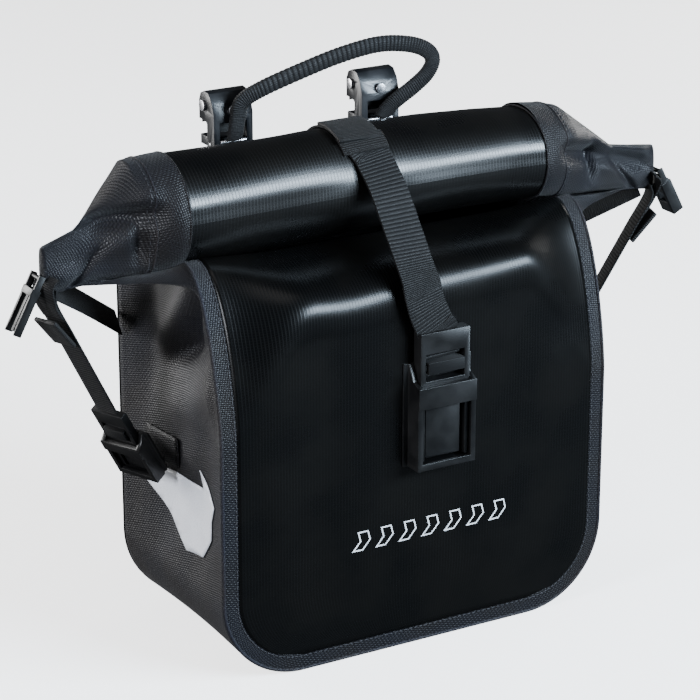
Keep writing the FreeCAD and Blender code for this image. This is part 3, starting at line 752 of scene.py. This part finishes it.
# Upper and lower outlines of the flattened ends, as (distance out, height), on the left and the right.
END_TOP = {-1: [(0.160, 0.3745), (0.190, 0.3735), (0.2255, 0.3340), (0.2295, 0.3305), (0.252, 0.3225)],
           1: [(0.132, 0.3700), (0.150, 0.3680), (0.163, 0.3650), (0.213, 0.3275), (0.232, 0.3245),
               (0.252, 0.3220)]}
END_FOOT = {-1: [(0.160, 0.2945), (0.200, 0.2935), (0.238, 0.2900), (0.252, 0.2885)],
            1: [(0.132, 0.3010), (0.200, 0.2950), (0.238, 0.2905), (0.252, 0.2885)]}


def roll_end_place(side, u, v, out=0.0):
    """The woven end of the roll, round at the seam and pressed flat, with crisp creases, at the tip."""
    start = SEAM[side]
    reach = mix(start, REACH, u)
    turn = 2 * pi * v
    top, foot = along_line(END_TOP[side], reach), along_line(END_FOOT[side], reach)
    squeeze = ease(start + 0.004, 0.222, reach)
    half_depth = mix(mix((top - foot) / 2, ROLL, 0.75) + 0.0008, 0.0045, squeeze ** 0.8)
    power = mix(1.0, 0.72, ease(start, 0.215, reach))
    across, up = cos(turn), sin(turn)
    y = -half_depth * flatter(across, power)
    z = (top + foot) / 2 + ((top - foot) / 2 + 0.0008) * flatter(up, power)
    # Creases made as the cloth is pressed together, on the front and the back: a long valley and a ridge
    # above it, a bulge, an upright valley, a slanting valley near the tip, and a low ridge at the foot.
    press = ease(start + 0.010, start + 0.028, reach) * (1 - ease(0.238, REACH, reach))
    slope = 0.345 - (reach - 0.184) * 0.19 if side < 0 else 0.338 - (reach - 0.165) * 0.30
    fold = 0.0085 * hump(0.0, 0.0065, z - slope + 0.004) * (1 - 0.45 * ease(0.20, 0.235, reach))
    fold -= 0.0050 * hump(0.0, 0.0090, z - slope - 0.011)
    bulge = hump(0.205, 0.012, reach + (z - 0.32) * 0.5)
    fold -= 0.0050 * bulge * hump(0.318, 0.013, z)
    fold += 0.0075 * hump(0.1885, 0.0050, reach) * hump(0.320, 0.014, z)
    fold += 0.0040 * hump(0.0, 0.0040, z - 0.318 + (reach - 0.212) * 1.2) * ease(0.205, 0.222, reach)
    fold -= 0.0030 * hump(0.300, 0.007, z)
    front = 1 if across > 0 else -1
    y += front * fold * press * min(abs(across) * 1.6, 1.0) * (1 if front > 0 else 0.6)
    if out:
        y -= front * out * abs(across)
        z += out * up
    return Vector((side * reach, y, z))


def make_roll_ends():
    for name, side in SIDES:
        start = SEAM[side]
        bm = grid(110, 168, lambda u, v: roll_end_place(side, u, v), (REACH - start, 2 * pi * ROLL))
        bmesh.ops.remove_doubles(bm, verts=bm.verts[:], dist=1e-5)
        rim = [edge for edge in bm.edges if edge.is_boundary and abs(edge.verts[0].co.x) > 0.25]
        bmesh.ops.holes_fill(bm, edges=rim, sides=0)
        caps = [face for face in bm.faces if len(face.verts) > 4]
        bmesh.ops.inset_region(bm, faces=caps, thickness=0.0012, depth=-0.002, use_boundary=True)
        turn_outwards(bm, Vector((side * 0.19, 0, 0.32)))
        end = add_object(name + "_roll_end_cloth", bm, woven)
        finish_piece(end, (name + "_roll_end",), body="roll_top")

        def edge_seam(u, v):
            round_turn = 2 * pi * v
            place = on_drum(side * (start - 0.0004), 2 * pi * u, 0.0009 + 0.0006 * cos(round_turn))
            return place + Vector((side * 0.0008 * sin(round_turn), 0, 0))

        def sewn_seam(u, v):
            round_turn = 2 * pi * v
            share = (0.0205 + 0.0006 * sin(round_turn)) / (REACH - start)
            return roll_end_place(side, share, u, 0.0001 + 0.0006 * cos(round_turn))

        for label, place, material in (("_roll_seam", edge_seam, woven),
                                       ("_roll_sewn_seam", sewn_seam, highlight_seam_weave)):
            bead = cloth_sheet(name + label, 120, 6, place, (0.25, 0.004), (side * start, 0, AXIS),
                               material, closed=True)
            finish_piece(bead, body="roll_top")


# ---------------------------------------------------------------- straps

CENTRE_WIDE, CENTRE_THICK = 0.030, 0.0016
SIDE_WIDE, SIDE_THICK = 0.020, 0.0015


def make_centre_strap():
    def on_roll(degrees, extra=0.0, x=STRAP_X):
        return on_drum(x, pi - radians(degrees), CENTRE_THICK + extra)

    def drift(degrees):
        return mix(STRAP_X, -0.0120, ease(120, 150, degrees))

    strap("strap_over_roll", [on_roll(a, 0.0, drift(a)) for a in range(38, 143, 8)], CENTRE_WIDE,
          CENTRE_THICK, (1, 0, 0), webbing, 90, ("centre_strap_over_roll",), body="roll_top")
    keeper = [on_roll(a, 0.0021 + 0.0008 * hump(126, 8, a)) for a in range(80, 128, 5)]
    strap("strap_fold", keeper, CENTRE_WIDE + 0.0040, 0.0026, (1, 0.02, 0), fine_webbing, 40,
          ("strap_end_fold",), body="roll_top")
    tuck = [on_roll(a, 0.0014, STRAP_X + 0.0015) for a in (116, 122, 128, 134, 138)]
    strap("strap_fold_under", tuck, CENTRE_WIDE + 0.0050, 0.0022, (1, -0.16, 0), fine_webbing, 24,
          body="roll_top")
    behind = [(STRAP_X, 0.0765, 0.316), (STRAP_X, 0.070, 0.334), (STRAP_X, 0.052, 0.352), on_roll(44),
              on_roll(52)]
    strap("strap_rear", behind, CENTRE_WIDE, CENTRE_THICK, (1, 0, 0), webbing, 50, ("centre_strap_rear",),
          across=("bag", "roll_top", (0, 0.074, 0), (0, 0.04, 0)))

    # The front span turns a little as it leaves the roll for the buckle, which sits further right.
    hang = [on_roll(134, 0.0, drift(134)), on_roll(142, 0.0, drift(142)), (-0.0100, -0.0480, 0.3420),
            (-0.0086, -0.0650, 0.3180), (-0.0080, -0.0805, 0.2970), (-0.0070, -0.0888, 0.2840),
            (-0.0048, -0.0905, 0.2720)]
    turned = [(1, 0, slope) for slope in (0, 0, -0.02, -0.04, -0.07, -0.10, -0.12)]
    strap("strap_front_upper", hang, CENTRE_WIDE, CENTRE_THICK, turned, webbing, 110,
          ("centre_strap_front",), across=LIFTED)
    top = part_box("centre_plug")[1].z
    drop = [(-0.0050, -0.0904, 0.2732), (-0.0016, -0.0910, 0.2610), (0.0050, -0.0910, 0.2470),
            (0.0090, -0.0905, top - 0.004), (0.0100, -0.0900, top - 0.020)]
    turned = [(1, 0, slope) for slope in (-0.12, -0.13, -0.08, -0.02, 0)]
    strap("strap_front_lower", drop, CENTRE_WIDE, CENTRE_THICK, turned, webbing, 50,
          across=("bag", "centre_plug", (0, 0, 0.268), (0, 0, 0.250)))


def side_axes(side):
    """Frame of a side buckle, read from the joint that its plug slides on."""
    name = ("left" if side < 0 else "right") + "_plug_slide"
    joint = [joint for joint in frame["joints"] if joint["name"] == name][0]
    up = Vector(joint["axis"]).normalized()
    turn = radians(20)
    across = up.cross(Vector((side * cos(turn), -sin(turn), 0))).normalized()
    return up, across, across.cross(up)


def make_side_straps():
    for name, side in SIDES:
        up, across, out = side_axes(side)
        wide = tuple(across)
        foot = Vector((side * 0.1648, 0.026, 0.136))
        plug_top = foot + up * 0.0646 + out * 0.006
        tip = Vector((side * 0.2480, 0, 0.284)) + out * 0.003
        middle = plug_top.lerp(tip, 0.5)
        straight = (tip - plug_top).normalized()
        strap(name + "_strap_lower",
              [plug_top - straight * 0.016, plug_top, plug_top.lerp(tip, 0.25),
               middle + straight * 0.001],
              SIDE_WIDE, SIDE_THICK, wide, webbing, 50, (name + "_side_strap",),
              across=("bag", name + "_plug", tuple(middle - straight * 0.004), tuple(plug_top)))
        strap(name + "_strap_upper",
              [middle, middle.lerp(tip, 0.5), tip, tip + Vector((0, 0.001, 0.010))],
              SIDE_WIDE, SIDE_THICK, wide, webbing, 50,
              across=("bag", "roll_top", tuple(middle), tuple(tip - straight * 0.008)))
        strap(name + "_strap_tail_cloth",
              [tip - straight * 0.036 + out * 0.0032, tip - straight * 0.022 + out * 0.0060,
               tip - straight * 0.008 + out * 0.0088],
              0.0205, 0.0032, wide, fine_webbing, 30, (name + "_strap_tail",), body="roll_top")
        strap(name + "_tip_loop",
              [(side * 0.2490, -0.0052, 0.303), (side * 0.2550, -0.0058, 0.296), tip + out * 0.0015,
               tip - straight * 0.012 + out * 0.001],
              0.0195, SIDE_THICK, wide, webbing, 40, (name + "_tip_tab",), body="roll_top")
        strap(name + "_rear_band",
              [(side * 0.2440, 0.006, 0.291), (side * 0.2150, 0.030, 0.270),
               (side * 0.1800, 0.062, 0.243), (side * 0.1620, 0.0765, 0.229)],
              SIDE_WIDE, 0.0014, (0.1 * side, 0.55, 0.83), fine_webbing, 40,
              across=("bag", "roll_top", (side * 0.165, 0.070, 0.226), (side * 0.240, 0.008, 0.288)))


def make_loops():
    for name in ("centre", "left", "right"):
        copy_node(name + "_strap_loop", name + "_plug", webbing, 0.0004)


def make_handle():
    """Round-edged ribbed webbing between the hooks, leaning over to the right-hand one."""
    y = 0.0765
    arch = [(-0.0620, 0.0815, 0.3510), (-0.0618, 0.0790, 0.3600), (-0.0614, y, 0.3700),
            (-0.0580, y, 0.3800), (-0.0430, y, 0.3872), (-0.0100, y, 0.3965), (0.0240, y, 0.4045),
            (0.0560, y, 0.4085), (0.0820, y, 0.4055), (0.0980, y, 0.3990), (0.1035, y, 0.3905),
            (0.0985, y, 0.3810), (0.0870, y, 0.3725), (0.0730, y, 0.3645), (0.0650, 0.0790, 0.3570),
            (0.0620, 0.0815, 0.3510)]
    path = [Vector(point) for point in arch]
    length = path_length(path, 90)
    ribs = length / RIB_PITCH

    def place(u, v):
        here = smooth_path(path, v)
        along = smooth_path(path, min(v + 0.004, 1.0)) - smooth_path(path, max(v - 0.004, 0.0))
        depth = Vector((0, 1, 0))
        flat = along.normalized().cross(depth).normalized()
        turn = 2 * pi * u
        ribbed = 1 + 0.085 * abs(sin(pi * ribs * v)) ** 0.7
        across = flatter(cos(turn), 0.7) * 0.0058 * ribbed
        thick = flatter(sin(turn), 0.7) * 0.0028 * ribbed
        return here + flat * across + depth * thick

    bm = grid(16, 960, place, (0.028, length))
    bmesh.ops.remove_doubles(bm, verts=bm.verts[:], dist=1e-6)
    bmesh.ops.holes_fill(bm, edges=[edge for edge in bm.edges if edge.is_boundary], sides=0)
    bmesh.ops.recalc_face_normals(bm, faces=bm.faces[:])
    handle = add_object("handle_grip", bm, ribbed_webbing)
    finish_piece(handle, ("handle_webbing",), body="handle")


# ---------------------------------------------------------------- stitching

STITCH = (0.0026, 0.0006, 0.0005)        # length, width and thickness
STITCH_STEP = 0.0042
STITCH_INSET = TAPE - 0.0030


def stitch_row(name, path, outwards, length, body=None, across=None):
    """Short raised stitches along path(distance), each lying flat with its back outwards."""
    bm = bmesh.new()
    gone = STITCH_STEP / 2
    while gone < length:
        first, last = path(gone - 0.0012), path(gone + 0.0012)
        along = (last - first).normalized()
        up = outwards(gone)
        side = along.cross(up).normalized()
        up = side.cross(along)
        turned = Matrix((along, side, up)).transposed().to_4x4()
        turned.translation = (first + last) / 2
        bmesh.ops.create_cube(bm, size=1.0, matrix=turned @ Matrix.Diagonal((*STITCH, 1)))
        gone += STITCH_STEP
    bmesh.ops.bevel(bm, geom=bm.edges[:], offset=0.00014, segments=1, affect="EDGES", profile=0.5,
                    material=-1)
    piece = add_object(name, bm, thread)
    return finish_piece(piece, body=body, across=across)


def make_stitching():
    def tape_seam(gone):
        x, run = edge_place(gone / EDGE_RUN, STITCH_INSET)
        return front_point(x, run) + Vector((0, -0.0002, 0.0001))

    def face_out(gone):
        x, run = edge_place(gone / EDGE_RUN, STITCH_INSET)
        rise = front_point(x, run + 0.002) - front_point(x, run - 0.002)
        return Vector((0, -rise.z, rise.y)).normalized()

    stitch_row("front_tape_stitches", tape_seam, face_out, EDGE_RUN - 0.004, across=LIFTED)
    ring = 2 * pi * 0.036
    for name, side in SIDES:
        start = SEAM[side]

        def round_end(gone):
            return roll_end_place(side, 0.0235 / (REACH - start), gone / ring, 0.0001)

        def end_out(gone):
            return (round_end(gone) - Vector((side * (start + 0.02), 0, AXIS - 0.004))).normalized()

        stitch_row(name + "_roll_stitches", round_end, end_out, ring - 0.004, body="roll_top")


# ---------------------------------------------------------------- patches and print

def wall_point(side, y, z, out):
    """Place on the side wall at a given depth and height, standing out by a small amount."""
    share = (GIRTH - z) / EDGE_RUN
    if z < CORNER:
        below = CORNER - z
        share = (SIDE_RUN + CORNER * atan2(below, sqrt(max(CORNER ** 2 - below ** 2, 0)))) / EDGE_RUN
    depth = (y - front_point(-HALF, z).y) / (back_point(-HALF, z).y - front_point(-HALF, z).y)
    place = gusset_point(share, depth)
    place -= inward(share) * out
    return Vector((side * abs(place.x), place.y, place.z))


def flat_patch(name, side, corners, out, thickness, material):
    """A patch cut to a straight-sided outline of (y, z) corners and laid on the side wall."""
    step = 0.006
    bm = bmesh.new()
    bm.faces.new([bm.verts.new((y, z, 0)) for y, z in corners])
    for values, normal in zip(zip(*corners), (Vector((1, 0, 0)), Vector((0, 1, 0)))):
        level = min(values) + step
        while level < max(values) - step * 0.2:
            bmesh.ops.bisect_plane(bm, geom=bm.verts[:] + bm.edges[:] + bm.faces[:],
                                   plane_co=normal * level, plane_no=normal)
            level += step
    layer = bm.loops.layers.uv.new("pattern")
    for face in bm.faces:
        for loop in face.loops:
            loop[layer].uv = loop.vert.co.xy
    for vertex in bm.verts:
        vertex.co = wall_point(side, vertex.co.x, vertex.co.y, out)
    turn_outwards(bm, Vector((0, 0, 0.12)))
    piece = add_object(name, bm, material)
    thicken(piece, thickness, -1)
    return settle(piece)


def make_patches():
    bright = [(0.045, 0.138), (0.052, 0.146), (0.068, 0.125), (0.019, 0.098), (-0.009, 0.080),
              (-0.036, 0.085), (-0.054, 0.105), (-0.055, 0.120), (-0.062, 0.133), (-0.048, 0.142),
              (-0.031, 0.150), (-0.037, 0.138), (0.030, 0.131)]
    base = [(0.006, 0.138), (0.047, 0.138), (0.047, 0.160), (0.006, 0.160)]
    for name, side in SIDES:
        film = flat_patch(name + "_reflective_cloth", side, bright, 0.0012, 0.0006, reflective)
        finish_piece(film, (name + "_reflective_patch",), body="bag")
        pad = flat_patch(name + "_anchor_patch", side, base, 0.0020, 0.0009, woven)
        finish_piece(pad, (name + "_socket_patch",), body="bag")


def make_print():
    """A row of outlined leaning chevrons, printed low on the front."""
    low, high, count, pitch = 0.0850, 0.1000, 7, 0.0192
    lean, nose, thick, line = 0.0045, 0.0065, 0.0090, 0.0011
    middle = (low + high) / 2
    bm = bmesh.new()
    for i in range(count):
        x = -0.058 + pitch * i
        shape = [(x, low), (x + thick, low), (x + thick + nose, middle), (x + thick + lean, high),
                 (x + lean, high), (x + nose, middle)]
        face = bm.faces.new([bm.verts.new((px, pz, 0)) for px, pz in shape])
        bm.normal_update()
        bmesh.ops.inset_region(bm, faces=[face], thickness=line, use_even_offset=True, use_boundary=True)
        bmesh.ops.delete(bm, geom=[face], context="FACES")
    for vertex in bm.verts:
        vertex.co = front_point(vertex.co.x, vertex.co.y) + Vector((0, -0.00085, 0))
    turn_outwards(bm, Vector((0, 0, 0.1)))
    mark = add_object("printed_chevrons", bm, white_print)
    finish_piece(mark, body="bag")


# ---------------------------------------------------------------- moulded and metal pieces

def copy_node(node, body, material, bevel, segments=2, slim=1.0):
    """A visible copy of a CAD node with its edges rounded. slim narrows it from front to back."""
    bm = bmesh.new()
    bm.from_mesh(frame["nodes"][node].data)
    bmesh.ops.remove_doubles(bm, verts=bm.verts[:], dist=1e-5)
    bmesh.ops.dissolve_limit(bm, angle_limit=radians(2), verts=bm.verts[:], edges=bm.edges[:])
    bmesh.ops.scale(bm, vec=(1, slim, 1), verts=bm.verts[:])
    piece = add_object("made_" + node, bm, material)
    piece.data.materials.clear()
    piece.data.materials.append(material)
    round_rim(piece, bevel, segments, 40, harden=True)
    return finish_piece(settle(piece), (node,), body=body)


def make_hard_pieces():
    for node in ("centre_socket", "left_socket", "right_socket"):
        copy_node(node, "bag", buckle_plastic, 0.0007)
    for node in ("centre_plug", "left_plug", "right_plug", "centre_tongue", "left_tongue",
                 "right_tongue"):
        copy_node(node, node, buckle_plastic, 0.0007)
    for node in ("left_tip_buckle", "right_tip_buckle"):
        copy_node(node, node, buckle_plastic, 0.0007, slim=0.62)
    for node, body in (("left_hook", "bag"), ("right_hook", "bag"), ("left_latch", "left_latch"),
                       ("right_latch", "right_latch"), ("lower_hook_slider", "lower_slider"),
                       ("lower_hook", "lower_hook"), ("rail_end_caps", "bag")):
        copy_node(node, body, hook_plastic, 0.0010)
    copy_node("back_stiffener_board", "bag", board_plastic, 0.0004, 1)
    copy_node("jaw_liners", "bag", rubber, 0.0003)
    for node in ("upper_rail", "lower_rail"):
        copy_node(node, "bag", anodised, 0.0005)
    for node in ("rail_screws", "backing_washers", "latch_pivots", "latch_springs", "hook_side_screws",
                 "hook_band_screws"):
        copy_node(node, "bag", steel, 0.0002)
    copy_node("handle_pins", "handle_pins", steel, 0.0002)


make_front()
make_gusset()
make_back()
make_roll()
make_roll_ends()
make_centre_strap()
make_side_straps()
make_loops()
make_handle()
make_stitching()
make_patches()
make_print()
make_hard_pieces()

ground = bmesh.new()
bmesh.ops.create_grid(ground, x_segments=8, y_segments=8, size=14.0)
floor = add_object("floor", ground, make_floor())
